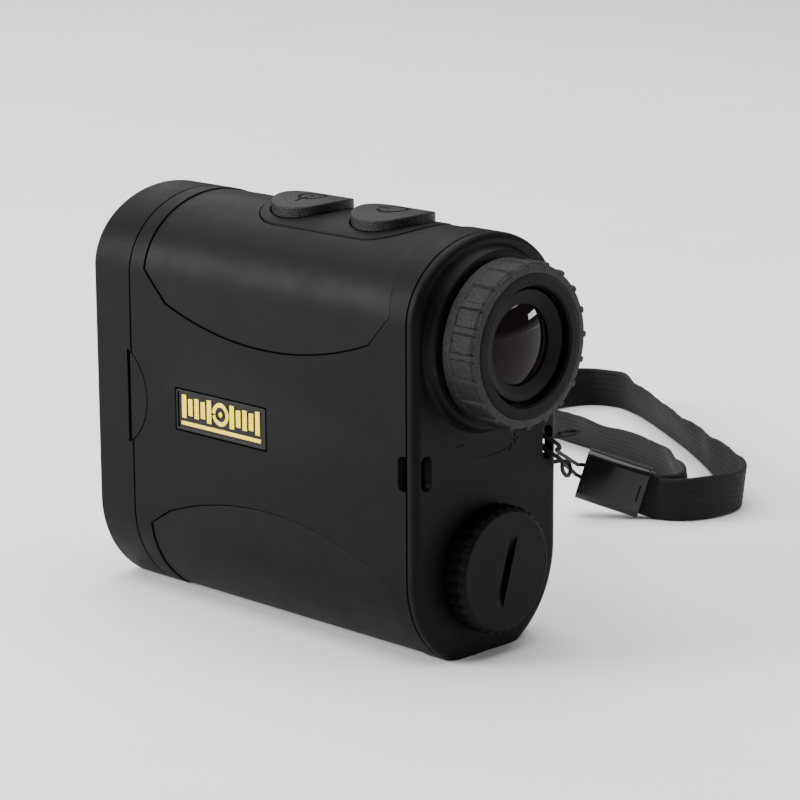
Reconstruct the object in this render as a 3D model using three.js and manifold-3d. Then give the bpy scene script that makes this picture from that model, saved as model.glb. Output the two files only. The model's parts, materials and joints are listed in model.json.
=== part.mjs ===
// A compact handheld laser rangefinder that stands on its base, in millimetres. +X is the user's
// right, +Y the way it looks, +Z up, and the origin is the middle of the base.
import * as THREE from "three";
import { mergeVertices } from "three/addons/utils/BufferGeometryUtils.js";
import Module from "manifold-3d";

const wasm = await Module();
wasm.setup();

// Casing section: flat sides, an elliptical crown, and an elliptical belly cut off flat at the base.
const HEIGHT = 76;
const HALF_WIDTH = 18.6;
const CROWN_RISE = 14.5;
const CROWN_Z = HEIGHT - CROWN_RISE;
const BELLY_DROP = 18.9;
const BELLY_Z = 16.4;
const WALL = 2.4;
const GAP = 0.3;

// Stations along the casing.
const REAR_FACE_Y = -38.1;
const REAR_PARTING_Y = -36;
const FRONT_PARTING_Y = 36.4;
const FRONT_FACE_Y = 48;
const REAR_ROUNDING = 1.7;
const FRONT_ROUNDING = 2.7;
const PAST = 60; // reaches past the whole casing, for cutters

// Optical, laser and battery axes, all along Y.
const SIGHT_Z = 57.3;
const LASER_Z = 22;
const CAP_Z = 15.8;

// Rubber grip panels: skins let into the casing, with arched edges that face each other.
const SKIN_TOP = 0.25;
const SKIN_BOTTOM = 1.2;
const POCKET_DEPTH = SKIN_BOTTOM + GAP;
const GRIP_ARC = 74.3;
const GRIP_ARC_HALF = 26.5;
const UPPER_ARC_Z = 126.7;
const LOWER_ARC_Z = -52.2;

// Half-round tabs of the front cover, one on each side.
const TAB = { y: 42.75, z: 38, radius: 10.5 };

// Keypad on the crown.
const KEYPAD = { half: 9.8, rear: -25, front: 15, corner: 9 };
const BUTTON_RADIUS = 7.6;
const BUTTON_RISE = 1.55;
const BUTTON_TRAVEL = 0.8;
const BUTTONS = [
  { key: "mode", y: 5.9 },
  { key: "power", y: -14.8 },
];
const STEM_RADIUS = 2;
const SWITCH_TOP_Z = 71;

// Badge on the left side, as Y and Z, with the floor of its recess in X.
const NAMEPLATE = { rear: -0.4, front: 23.8, low: 33.9, high: 41.5, floor: -17.6 };

// Roof prism pair above the middle.
const PRISM_BOX = { half: 12.2, rear: -14, front: 14, low: 45.5, high: 66.9 };
const PRISM_ROOM = { left: -9.4, rear: -11.6, front: 11.6, low: 48, high: 64.6 };
const PRISM_SPLIT = 56.3; // y + z on the sloping plane between the two prisms

// Eyepiece.
const EYE_RIM_Y = -48;
const BOSS_FACE_Y = -40.2;
const TUBE_BORE = 10.4;
const PORT_BORE = 12.6;
const GRIP_LOBES = 20;

// Battery cap.
const CAP_RADIUS = 11.6;
const CAP_RIBS = 32;
const CAP_FACE_Y = -42.7;
const CAP_BACK_Y = -38.7;
const PLUG_BORE = 9;
const COIN_SLOT = { length: 13.2, width: 1.9, depth: 1.3, tilt: 17.5 };

// Openings of the front cover, and how far each widens at the face.
const FRONT_OPENINGS = [
  { z: SIGHT_Z, radius: 13, mouth: 14 },
  { z: LASER_Z, radius: 8, mouth: 8.8 },
];

// Front case screws, as x and z, with their posts inside the housing.
const SCREW = { thread: 0.85, head: 1.9, socket: 0.9, tip: 34, bore: 1.2, sink: 2.3 };
const POST = { radius: 2.2, rear: 22, web: 31, reachHigh: 17, reachLow: 15.2, halfWeb: 0.9 };
const CASE_SCREWS = [
  [-12.4, 42],
  [12.4, 42],
  [-11, 10],
  [11, 10],
];

// Lanyard slots: through the rear face beside each edge, and out through the side wall.
const SLOT = { near: 14.5, far: 17, low: 32.6, high: 38.9, sideFront: -33.9 };

// Wrist strap: a webbing loop standing on its edge, a hollow clamp on its two ends, and a thin cord
// that ties the clamp to the right lanyard slot.
const WEBBING = { width: 9.2, thickness: 1.1 };
const CLAMP = { length: 13.6, height: 10.7, thickness: 4.6, lean: 4, pitch: 16.2, yaw: 33.9 };
const CLAMP_START = new THREE.Vector3(86.14, -0.85, 0.16);
const CORD_DIAMETER = 0.8;

// Lower edge of the webbing as x, y, z, then its lean in degrees to the left of travel.
const WEBBING_ROUTE = [
  [82.3, 3.8, 2.7, 4],
  [84.7, 0.3, 1.5, 4],
  [86.3, -2.1, 0.7, 3],
  [87.5, -4.2, 0.1, 2],
  [88.6, -6.7, 0, 1],
  [90.3, -9.2, 0, 0],
  [93.2, -11.3, 0, -1],
  [97, -12.7, 0, -3],
  [101, -13, 0, -6],
  [104.6, -12.4, 0, -8],
  [108.3, -10.4, 0, -8],
  [111.8, -7, 0, -6],
  [116.8, -0.4, 0, 0],
  [124, 8.9, 0, 8],
  [131, 18.2, 0, 14],
  [137.4, 27.4, 0, 18],
  [143.6, 37.2, 0, 20],
  [149.8, 47.3, 0, 18],
  [155, 57, 0, 12],
  [157.6, 65, 0, 4],
  [156, 70.8, 0, -2],
  [150.6, 73.6, 0, -6],
  [141, 74, 0, -12],
  [132, 70.5, 0, -19],
  [127, 63.5, 0, -23],
  [124.3, 54, 0, -25],
  [122.2, 43, 0, -26],
  [119.5, 30, 0, -26],
  [116, 18, 0, -25],
  [112, 8.8, 0, -22],
  [106, 2.2, 0, -17],
  [100.4, -3.2, 0, -12],
  [96, -6.5, 0, -8],
  [92.9, -6.9, 0, -6],
  [90.5, -5.4, 0, -5],
  [88.9, -3.5, 0, -4],
  [87.3, -1.4, 0.6, -4],
  [85.7, 1, 1.4, -4],
  [83.3, 4.5, 2.7, -4],
];

// Cord centre line: a short hooked tail, round the post between the slots, out to the clamp, round
// inside its far end, back to the slots, and a small loop that ends under the side slot.
const CORD_ROUTE = [
  [26, -31.9, 34.3],
  [27.6, -31.9, 34.4],
  [28.8, -32.8, 34.5],
  [28.8, -34.2, 34.6],
  [27.5, -35, 34.6],
  [23.5, -35, 34.7],
  [17.2, -34.9, 36.3],
  [15.6, -36.2, 36.8],
  [15.6, -38.4, 36.5],
  [16.7, -39.5, 35.5],
  [18.2, -38.9, 34.3],
  [19.5, -37.1, 33.5],
  [47.8, -15.1, 22.5],
  [76.1, 7, 11.9],
  [78, 8.5, 11.2],
  [79.4, 8.9, 10.9],
  [80.6, 8.2, 10.7],
  [81.8, 6.6, 10.4],
  [82.6, 5.3, 9.5],
  [82.6, 5.2, 8.1],
  [81.7, 6.4, 7],
  [80.4, 8.1, 7.5],
  [79.2, 9.2, 8.4],
  [77.6, 8.9, 9.2],
  [75.6, 7.4, 10.1],
  [49.1, -13.3, 20.6],
  [22.6, -34.1, 31.1],
  [20.3, -34.9, 32.4],
  [18.3, -34.8, 34],
  [16.4, -35.3, 34.6],
  [15.5, -36.8, 34.5],
  [15.9, -38.7, 33.8],
  [18, -39.4, 32.2],
  [20.1, -37.9, 29.7],
  [22.2, -36.8, 28.1],
  [23.9, -36.1, 27.6],
  [25, -35.6, 28.3],
  [24.9, -35.2, 29.5],
  [23.7, -34.9, 30.1],
  [21.2, -34.8, 30.4],
];

// ---- geometry helpers -------------------------------------------------------------------------

function solid(geometry) {
  const bare = geometry.clone();
  bare.deleteAttribute("normal");
  bare.deleteAttribute("uv");
  const merged = mergeVertices(bare, 1e-4);
  return new wasm.Manifold(
    new wasm.Mesh({
      numProp: 3,
      vertProperties: merged.attributes.position.array,
      triVerts: new Uint32Array(merged.index.array),
    }),
  );
}

function geometryOf(made) {
  const mesh = made.getMesh();
  const geometry = new THREE.BufferGeometry();
  geometry.setAttribute("position", new THREE.BufferAttribute(mesh.vertProperties, 3));
  geometry.setIndex(new THREE.BufferAttribute(mesh.triVerts, 1));
  return geometry;
}

// A shape drawn in X and Z, run along Y, with both ends rounded over when a rounding is given.
function alongY(shape, y0, y1, { rounding = 0, segments = 6 } = {}) {
  const geometry = new THREE.ExtrudeGeometry(shape, {
    depth: y1 - y0 - 2 * rounding,
    curveSegments: segments,
    bevelEnabled: rounding > 0,
    bevelSize: rounding,
    bevelThickness: rounding,
    bevelSegments: 3,
  });
  return solid(geometry.rotateX(Math.PI / 2).translate(0, y1 - rounding, 0));
}

// A shape drawn in Y and Z, run along X.
function acrossX(shape, x0, x1, segments = 6) {
  const geometry = new THREE.ExtrudeGeometry(shape, {
    depth: x1 - x0,
    curveSegments: segments,
    bevelEnabled: false,
  });
  return solid(geometry.rotateX(Math.PI / 2).rotateZ(Math.PI / 2).translate(x0, 0, 0));
}

// A shape drawn in X and Y, run up Z.
function upZ(shape, z0, z1, segments = 6) {
  const geometry = new THREE.ExtrudeGeometry(shape, {
    depth: z1 - z0,
    curveSegments: segments,
    bevelEnabled: false,
  });
  return solid(geometry.translate(0, 0, z0));
}

// A profile of radius and y, turned about the line x = 0 at the given height. A ring's profile
// closes on itself, and a solid one starts and ends on the axis.
function turned(profile, { z = 0, segments = 20 } = {}) {
  const points = profile.map(([r, y]) => new THREE.Vector2(r, y));
  if (THREE.ShapeUtils.area(points) < 0) points.reverse();
  if (points[0].x > 0 || points.at(-1).x > 0) points.push(points[0].clone());
  return solid(new THREE.LatheGeometry(points, segments).translate(0, 0, z));
}

function ring(inner, outer, y0, y1, options) {
  return turned([[inner, y0], [outer, y0], [outer, y1], [inner, y1]], options);
}

function rod(radius, y0, y1, options) {
  return turned([[0, y0], [radius, y0], [radius, y1], [0, y1]], options);
}

function block(x0, x1, y0, y1, z0, z1) {
  const geometry = new THREE.BoxGeometry(x1 - x0, y1 - y0, z1 - z0);
  return solid(geometry.translate((x0 + x1) / 2, (y0 + y1) / 2, (z0 + z1) / 2));
}

function circle(a, b, radius) {
  const shape = new THREE.Shape();
  return shape.absarc(a, b, radius, 0, 2 * Math.PI, false);
}

function roundedBox(a0, b0, a1, b1, corner) {
  const shape = new THREE.Shape();
  shape.absarc(a1 - corner, b0 + corner, corner, -Math.PI / 2, 0, false);
  shape.absarc(a1 - corner, b1 - corner, corner, 0, Math.PI / 2, false);
  shape.absarc(a0 + corner, b1 - corner, corner, Math.PI / 2, Math.PI, false);
  shape.absarc(a0 + corner, b0 + corner, corner, Math.PI, 1.5 * Math.PI, false);
  return shape;
}

// A circle whose radius swings between two values, once for each lobe.
function lobed(outer, inner, lobes, stepsPerLobe) {
  const steps = lobes * stepsPerLobe;
  const points = [];
  for (let i = 0; i < steps; i++) {
    const angle = (2 * Math.PI * i) / steps;
    const radius = i % stepsPerLobe === 0 ? inner : outer;
    points.push(new THREE.Vector2(radius * Math.cos(angle), radius * Math.sin(angle)));
  }
  return new THREE.Shape(points);
}

// ---- casing sections --------------------------------------------------------------------------

// The casing's outline drawn in by the inset, with its base cut off flat at the same height.
function section(inset) {
  const wide = HALF_WIDTH - inset;
  const rise = CROWN_RISE - inset;
  const drop = BELLY_DROP - inset;
  const foot = Math.asin((BELLY_Z - inset) / drop);
  const crown = new THREE.EllipseCurve(0, CROWN_Z, wide, rise, 0, Math.PI);
  const left = new THREE.EllipseCurve(0, BELLY_Z, wide, drop, Math.PI, Math.PI + foot);
  const right = new THREE.EllipseCurve(0, BELLY_Z, wide, drop, -foot, 0);
  return new THREE.Shape([...crown.getPoints(20), ...left.getPoints(6), ...right.getPoints(6)]);
}

function hull(inset, y0 = -PAST, y1 = PAST) {
  return alongY(section(inset), y0, y1);
}

function skin(top, bottom, y0 = -PAST, y1 = PAST) {
  return hull(top, y0, y1).subtract(hull(bottom, y0 - 1, y1 + 1));
}

// Outlines of the two grip panels in Y and Z, grown all round by the clearance of their pockets.
function upperOutline(grow) {
  const radius = GRIP_ARC + grow;
  const sweep = Math.asin((GRIP_ARC_HALF + grow) / radius);
  const shape = new THREE.Shape();
  shape.absarc(0, UPPER_ARC_Z, radius, -Math.PI / 2 - sweep, -Math.PI / 2 + sweep, false);
  shape.lineTo(32.3 + grow, 63);
  shape.lineTo(32.3 + grow, 89);
  shape.lineTo(-27 - grow, 89);
  shape.lineTo(-31.8 - grow, 63);
  shape.closePath();
  return shape;
}

function lowerOutline(grow) {
  const radius = GRIP_ARC + grow;
  const sweep = Math.asin((GRIP_ARC_HALF + grow) / radius);
  const side = 31.9 + grow;
  const shape = new THREE.Shape();
  shape.absarc(0, LOWER_ARC_Z, radius, Math.PI / 2 - sweep, Math.PI / 2 + sweep, false);
  shape.lineTo(-side, 14);
  shape.lineTo(-side, -5);
  shape.lineTo(side, -5);
  shape.lineTo(side, 14);
  shape.closePath();
  return shape;
}

function keypadOutline(grow) {
  const { half, rear, front, corner } = KEYPAD;
  return roundedBox(-half - grow, rear - grow, half + grow, front + grow, corner + grow);
}

// The front cover's half-round tabs, which reach back over the housing on both sides.
function tabs(radius, top, bottom) {
  const disc = acrossX(circle(TAB.y, TAB.z, radius), -PAST, PAST, 16);
  return skin(top, bottom, 30, FRONT_PARTING_Y + 1).intersect(disc);
}

// ---- casing pieces ----------------------------------------------------------------------------

function mainHousing() {
  const y0 = REAR_PARTING_Y + GAP / 2;
  const y1 = FRONT_PARTING_Y - GAP / 2;
  let body = hull(0, y0, y1).subtract(hull(WALL, y0 - 1, y1 + 1));
  const floor = hull(POCKET_DEPTH);
  body = body.subtract(acrossX(upperOutline(GAP), -PAST, PAST).subtract(floor));
  body = body.subtract(acrossX(lowerOutline(GAP), -PAST, PAST).subtract(floor));
  body = body.subtract(tabs(TAB.radius + GAP, -1, POCKET_DEPTH));
  const { rear, front, low, high } = NAMEPLATE;
  body = body.subtract(
    block(-HALF_WIDTH - 1, NAMEPLATE.floor, rear - GAP, front + GAP, low - GAP, high + GAP),
  );
  for (const { y } of BUTTONS) {
    body = body.subtract(upZ(circle(0, y, STEM_RADIUS + 0.6), HEIGHT - 6, HEIGHT + 1));
  }
  for (const side of [-1, 1]) {
    const x = [side * 15, side * (HALF_WIDTH + 1)].sort((a, b) => a - b);
    body = body.subtract(block(...x, y0 - 1, SLOT.sideFront, SLOT.low, SLOT.high));
  }
  for (const [x, z] of CASE_SCREWS) {
    const reach = z > BELLY_Z ? POST.reachHigh : POST.reachLow;
    const span = [x, Math.sign(x) * reach].sort((a, b) => a - b);
    const post = circle(x, z, POST.radius);
    body = body.add(alongY(post, POST.rear, FRONT_FACE_Y - WALL - 0.4));
    body = body.add(block(...span, POST.rear, POST.web, z - POST.halfWeb, z + POST.halfWeb));
    body = body.subtract(alongY(circle(x, z, SCREW.bore), POST.web - 1, FRONT_FACE_Y));
  }
  for (const z of [14, 38]) {
    body = body.add(block(13.9, 17, -28, 18, z - 0.75, z + 0.75));
  }
  return body;
}

function frontCover() {
  const parting = FRONT_PARTING_Y + GAP / 2;
  const inside = FRONT_FACE_Y - WALL;
  let cover = alongY(section(FRONT_ROUNDING), 0, FRONT_FACE_Y, { rounding: FRONT_ROUNDING });
  cover = cover.intersect(block(-PAST, PAST, parting, PAST, -PAST, 2 * PAST));
  cover = cover.add(tabs(TAB.radius, 0, SKIN_BOTTOM)).subtract(hull(WALL, 0, inside));
  for (const { z, radius, mouth } of FRONT_OPENINGS) {
    const face = FRONT_FACE_Y + 0.2;
    cover = cover.subtract(rod(radius, inside - 2, face, { z, segments: 32 }));
    const lead = [[0, face - 1.8], [radius, face - 1.8], [mouth, face], [0, face]];
    cover = cover.subtract(turned(lead, { z, segments: 32 }));
  }
  for (const [x, z] of CASE_SCREWS) {
    cover = cover.subtract(alongY(circle(x, z, SCREW.bore), inside - 1, PAST));
    cover = cover.subtract(alongY(circle(x, z, SCREW.sink), FRONT_FACE_Y - 1.4, PAST));
  }
  return cover;
}

function rearCover() {
  const parting = REAR_PARTING_Y - GAP / 2;
  const root = parting - 0.5;
  let cover = alongY(section(REAR_ROUNDING), REAR_FACE_Y, 0, { rounding: REAR_ROUNDING });
  cover = cover.intersect(block(-PAST, PAST, -PAST, parting, -PAST, 2 * PAST));
  const boss = [
    [PORT_BORE - 1, root],
    [16.9, root],
    [16.7, -38.2],
    [16.3, -38.6],
    [16, -39.2],
    [15.8, -39.8],
    [15.4, BOSS_FACE_Y],
    [PORT_BORE - 1, BOSS_FACE_Y],
  ];
  cover = cover.add(turned(boss, { z: SIGHT_Z, segments: 40 }));
  cover = cover.add(ring(PORT_BORE - 1, 13.8, root, -31, { z: SIGHT_Z, segments: 32 }));
  cover = cover.add(ring(PLUG_BORE - 1, 10.4, root, -31.5, { z: CAP_Z, segments: 32 }));
  cover = cover.subtract(rod(PORT_BORE, -PAST, 0, { z: SIGHT_Z, segments: 32 }));
  cover = cover.subtract(rod(PLUG_BORE, -PAST, 0, { z: CAP_Z, segments: 32 }));
  cover = cover.subtract(ring(9.9, 11.1, -PAST, REAR_FACE_Y + 0.9, { z: CAP_Z, segments: 32 }));
  const { near, far, low, high } = SLOT;
  for (const [x0, x1] of [[-far, -near], [near, far]]) {
    cover = cover.subtract(alongY(roundedBox(x0, low, x1, high, 1.2), -PAST, 0, { segments: 4 }));
  }
  return cover;
}

function upperGrip() {
  const panel = skin(SKIN_TOP, SKIN_BOTTOM).intersect(acrossX(upperOutline(0), -PAST, PAST));
  return panel.subtract(upZ(keypadOutline(GAP), HEIGHT / 2, 2 * HEIGHT));
}

function lowerGrip() {
  return skin(SKIN_TOP, SKIN_BOTTOM).intersect(acrossX(lowerOutline(0), -PAST, PAST));
}

function keypadBezel() {
  let bezel = skin(0.1, SKIN_BOTTOM).intersect(upZ(keypadOutline(0), HEIGHT / 2, 2 * HEIGHT));
  for (const { y } of BUTTONS) {
    bezel = bezel.subtract(upZ(circle(0, y, BUTTON_RADIUS + GAP), HEIGHT / 2, 2 * HEIGHT, 16));
  }
  return bezel;
}

// A round key whose top follows the crown, with a stem that stops short of its switch.
function button(y) {
  const cap = skin(-BUTTON_RISE, 0.2).intersect(
    upZ(circle(0, y, BUTTON_RADIUS), HEIGHT / 2, 2 * HEIGHT, 16),
  );
  return cap.add(upZ(circle(0, y, STEM_RADIUS), SWITCH_TOP_Z + BUTTON_TRAVEL + 0.1, HEIGHT));
}

function keySwitch(y) {
  const base = block(-3, 3, y - 3, y + 3, 68.5, 70.4);
  return base.add(upZ(circle(0, y, 1.6), 70, SWITCH_TOP_Z, 6));
}

function caseScrew() {
  const { thread, head, socket, tip } = SCREW;
  const seat = FRONT_FACE_Y - 1.1;
  const floor = FRONT_FACE_Y - 0.8;
  const top = FRONT_FACE_Y - 0.2;
  const profile = [
    [0, tip],
    [thread, tip],
    [thread, seat],
    [head, seat],
    [head, top],
    [socket, top],
    [socket, floor],
    [0, floor],
  ];
  return turned(profile, { segments: 16 });
}

// ---- optics -----------------------------------------------------------------------------------

// A lens of the given edge positions, each face bulging outwards by its own height.
function lens(radius, y0, y1, bulge0, bulge1) {
  const steps = 3;
  const face = (y, bulge) =>
    Array.from({ length: steps + 1 }, (_, i) => {
      const r = (radius * i) / steps;
      return [r, y + bulge * (1 - (r / radius) ** 2)];
    });
  return turned([...face(y0, -bulge0), ...face(y1, bulge1).reverse()]);
}

function eyepieceTube() {
  return turned([
    [TUBE_BORE, -46.3],
    [11.4, -46.3],
    [11.4, -36],
    [12.3, -36],
    [12.3, -33],
    [11.4, -33],
    [11.4, -24],
    [TUBE_BORE, -24],
  ]);
}

function diopterRing() {
  const core = [
    [11.7, -40.5],
    [13.6, -40.5],
    [13.6, -47.3],
    [13.1, EYE_RIM_Y],
    [10.9, EYE_RIM_Y],
    [10.55, -47.6],
    [10.55, -46.7],
    [11.7, -46.7],
  ];
  return turned(core, { segments: 32 });
}

function diopterGrip() {
  const sleeve = alongY(lobed(14.7, 14.1, GRIP_LOBES, 4), -47.8, -40.6);
  return sleeve.subtract(rod(13.9, -PAST, 0, { segments: 32 }));
}

function ocularCell() {
  return turned(
    [
      [10.1, -31],
      [10.1, -45.8],
      [9.8, -46.6],
      [9.4, -46.6],
      [7.5, -45.9],
      [7.5, -45.4],
      [8.2, -45.4],
      [8.2, -31],
    ],
    { segments: 32 },
  );
}

function objectiveBarrel() {
  return turned(
    [
      [13.4, 14.3],
      [13.4, 45.2],
      [12.7, 45.2],
      [12.7, 47.2],
      [12.1, 47.2],
      [12.1, 39.7],
      [11.2, 39.7],
      [11.2, 14.3],
    ],
    { segments: 32 },
  );
}

function laserTube() {
  return turned([
    [8.6, 16],
    [8.6, 45.2],
    [7.7, 45.2],
    [7.7, 47.2],
    [7.1, 47.2],
    [7.1, 42],
    [6.6, 42],
    [6.6, 17.5],
    [2.9, 17.5],
    [2.9, 16],
  ]);
}

// The prisms' box, open on its right side, where a cover plate closes it.
function prismHousing() {
  const { half, rear, front, low, high } = PRISM_BOX;
  const room = PRISM_ROOM;
  return block(-half, half, rear, front, low, high)
    .subtract(block(room.left, half + 1, room.rear, room.front, room.low, room.high))
    .subtract(rod(7.4, rear - 1, front + 1, { z: SIGHT_Z }));
}

function prism(front) {
  const room = PRISM_ROOM;
  const low = room.low + GAP;
  const high = room.high - GAP;
  const end = front ? room.front - GAP : room.rear + GAP;
  const split = PRISM_SPLIT + (front ? 0.25 : -0.25);
  const shape = new THREE.Shape([
    new THREE.Vector2(end, low),
    new THREE.Vector2(end, high),
    new THREE.Vector2(split - high, high),
    new THREE.Vector2(split - low, low),
  ]);
  return acrossX(shape, room.left + GAP, 9.1);
}

// ---- battery bay ------------------------------------------------------------------------------

function batteryCap() {
  const grip = alongY(lobed(CAP_RADIUS, CAP_RADIUS - 0.35, CAP_RIBS, 3), CAP_FACE_Y, CAP_BACK_Y);
  const form = [
    [0, CAP_FACE_Y],
    [CAP_RADIUS - 1, CAP_FACE_Y],
    [CAP_RADIUS, CAP_FACE_Y + 1],
    [CAP_RADIUS, REAR_FACE_Y],
    [0, REAR_FACE_Y],
  ];
  const { length, width, depth, tilt } = COIN_SLOT;
  const cutter = (length ** 2 / 4 + depth ** 2) / (2 * depth); // radius of the disc that cuts it
  const slot = solid(
    new THREE.CylinderGeometry(cutter, cutter, width, 64)
      .rotateZ(Math.PI / 2)
      .translate(0, CAP_FACE_Y + depth - cutter, 0)
      .rotateY(THREE.MathUtils.degToRad(tilt)),
  );
  return grip
    .intersect(turned(form, { segments: 40 }))
    .add(rod(8.6, CAP_BACK_Y - 0.5, -33.2))
    .subtract(slot);
}

function battery() {
  return turned([[0, -31.7], [7.8, -31.7], [7.8, -5.7], [3, -5.7], [3, -4.7], [0, -4.7]]);
}

function batteryTube() {
  return turned([[8.3, -31.2], [9.1, -31.2], [9.1, -1.7], [0, -1.7], [0, -2.9], [8.3, -2.9]]);
}

function capSeal() {
  const around = 6;
  const profile = Array.from({ length: around }, (_, i) => {
    const angle = (2 * Math.PI * i) / around;
    return [10.5 + 0.3 * Math.cos(angle), -37.65 + 0.3 * Math.sin(angle)];
  });
  return turned(profile);
}

// ---- strap ------------------------------------------------------------------------------------

// A route whose steps are shared out evenly between its points, so tight bends get short steps.
class Route extends THREE.CatmullRomCurve3 {
  getPointAt(u, target) {
    return this.getPoint(u, target);
  }
  getTangentAt(u, target) {
    return this.getTangent(u, target);
  }
}

function cord() {
  const path = new Route(CORD_ROUTE.map(([x, y, z]) => new THREE.Vector3(x, y, z)));
  return solid(
    new THREE.ExtrudeGeometry(circle(0, 0, CORD_DIAMETER / 2), {
      steps: 2 * (CORD_ROUTE.length - 1),
      curveSegments: 4,
      extrudePath: path,
    }),
  );
}

// A flat box bent along the route, its lower edge on the route and its width leaning over.
function webbing() {
  const path = new Route(WEBBING_ROUTE.map(([x, y, z]) => new THREE.Vector3(x, y, z)));
  const { width, thickness } = WEBBING;
  const spans = WEBBING_ROUTE.length - 1;
  const box = new THREE.BoxGeometry(spans, thickness, width, 2 * spans, 1, 1);
  const corner = new THREE.Vector3();
  const places = box.attributes.position;
  for (let i = 0; i < places.count; i++) {
    corner.fromBufferAttribute(places, i);
    const station = corner.x + spans / 2;
    const before = Math.min(Math.floor(station), spans - 1);
    const lean = THREE.MathUtils.degToRad(
      THREE.MathUtils.lerp(WEBBING_ROUTE[before][3], WEBBING_ROUTE[before + 1][3], station - before),
    );
    const foot = path.getPoint(station / spans);
    const travel = path.getTangent(station / spans);
    const left = new THREE.Vector3(-travel.y, travel.x, 0).normalize();
    const upright = travel.clone().cross(left);
    const up = corner.z + width / 2;
    foot.z += (thickness / 2) * Math.abs(Math.sin(lean));
    foot.addScaledVector(left, up * Math.sin(lean) + corner.y * Math.cos(lean));
    foot.addScaledVector(upright, up * Math.cos(lean) - corner.y * Math.sin(lean));
    places.setXYZ(i, foot.x, foot.y, foot.z);
  }
  return solid(box);
}

function strapClamp() {
  const { length, height, thickness, lean, pitch, yaw } = CLAMP;
  const half = thickness / 2;
  const outer = roundedBox(-half, 0, half, height, 2);
  const inner = roundedBox(-half + 0.7, 0.5, half - 0.7, height - 0.5, 0.4);
  const sleeve = alongY(outer, 0, length, { segments: 4 }).subtract(
    alongY(inner, -1, length + 1, { segments: 4 }),
  );
  const geometry = geometryOf(sleeve)
    .rotateY(THREE.MathUtils.degToRad(lean))
    .rotateX(THREE.MathUtils.degToRad(pitch))
    .rotateZ(THREE.MathUtils.degToRad(yaw))
    .translate(...CLAMP_START.toArray());
  return solid(geometry);
}

// ---- scene graph ------------------------------------------------------------------------------

const surface = (color, roughness, metalness = 0) =>
  new THREE.MeshStandardMaterial({ color, roughness, metalness });
const SHELL = surface(0x2f3133, 0.55);
const GRIP = surface(0x26282a, 0.75);
const RUBBER = surface(0x202224, 0.8);
const GLOSS = surface(0x101113, 0.15);
const INNER = surface(0x1b1c1e, 0.6);
const METAL = surface(0x9a9da1, 0.35, 1);
const GLASS = surface(0x3a2d48, 0.05);
const BOARD = surface(0x1f5135, 0.5);
const FABRIC = surface(0x48494c, 0.9);
const LABEL = surface(0x4a5d78, 0.4);

const rangefinder = new THREE.Group();
const eyepiece = new THREE.Group();
const objective = new THREE.Group();
const emitter = new THREE.Group();
const batteryBay = new THREE.Group();
eyepiece.position.z = SIGHT_Z;
objective.position.z = SIGHT_Z;
emitter.position.z = LASER_Z;
batteryBay.position.z = CAP_Z;
rangefinder.add(eyepiece, objective, emitter, batteryBay);

function add(name, made, material, parent = rangefinder) {
  const mesh = new THREE.Mesh(geometryOf(made), material.clone());
  mesh.name = name;
  parent.add(mesh);
  return mesh;
}

add("main_housing", mainHousing(), SHELL);
add("front_cover", frontCover(), SHELL);
add("rear_cover", rearCover(), SHELL);
add("front_seal", skin(WALL + GAP, WALL + 1.1, 35.2, 37.4), RUBBER);
add("upper_grip", upperGrip(), GRIP);
add("lower_grip", lowerGrip(), GRIP);
add("keypad_bezel", keypadBezel(), SHELL);
for (const { key, y } of BUTTONS) {
  add(key + "_button", button(y), RUBBER);
  add(key + "_switch", keySwitch(y), METAL);
}
add("keypad_board", block(-9, 9, -21, 13.5, 67.2, 68.2), BOARD);
CASE_SCREWS.forEach(([x, z], i) => {
  const screw = add("case_screw_" + (i + 1), caseScrew(), METAL);
  screw.position.set(x, 0, z);
});
const plateSolid = block(
  -HALF_WIDTH,
  NAMEPLATE.floor - GAP,
  NAMEPLATE.rear,
  NAMEPLATE.front,
  NAMEPLATE.low,
  NAMEPLATE.high,
);
add("nameplate", plateSolid, GLOSS);

add("eyepiece_tube", eyepieceTube(), INNER, eyepiece);
add("diopter_ring", diopterRing(), SHELL, eyepiece);
add("diopter_grip", diopterGrip(), RUBBER, eyepiece);
add("ocular_cell", ocularCell(), INNER, eyepiece);
add("eye_lens", lens(7.9, -45.1, -40, 1.3, 0.6), GLASS, eyepiece);
add("lens_spacer", ring(7.2, 7.9, -38.9, -36.3), INNER, eyepiece);
add("field_lens", lens(7.9, -35.8, -34, 0.3, 0.5), GLASS, eyepiece);
add("cell_retainer", ring(6.8, 7.9, -33.2, -31.6), INNER, eyepiece);

add("objective_barrel", objectiveBarrel(), INNER, objective);
add("objective_lens", lens(11.8, 40, 42.4, 0, 1.8), GLASS, objective);
add("objective_ring", ring(11, 11.8, 43, 45.4), INNER, objective);
add("laser_tube", laserTube(), INNER, emitter);
add("laser_lens", lens(6.8, 42.3, 43.6, 0, 1.3), GLASS, emitter);
add("laser_ring", ring(6.2, 6.8, 44.2, 46.4), INNER, emitter);
add("laser_diode", rod(2.6, 12.6, 17.2, { segments: 16 }), METAL, emitter);

add("prism_housing", prismHousing(), INNER);
add("prism_front", prism(true), GLASS);
add("prism_rear", prism(false), GLASS);
add("prism_cover", block(9.4, 12.2, -11.3, 11.3, 48.3, 64.3), METAL);
const frameSolid = block(-10.5, 10.5, -17.6, -14.3, 47, 66.6);
add("display_frame", frameSolid.subtract(rod(7.4, -18, -14, { z: SIGHT_Z })), INNER);
add("reticle_display", block(-8, 8, -19.2, -17.9, 49.5, 65.1), GLASS);
add("light_receiver", block(-5, 5, -5, 5, 39.9, 45.2), METAL);
add("main_board", block(12.6, 13.6, -30, 20, 10, 42), BOARD);
add("processor_chip", block(11.3, 12.3, -6, 6, 18, 30), INNER);

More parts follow.
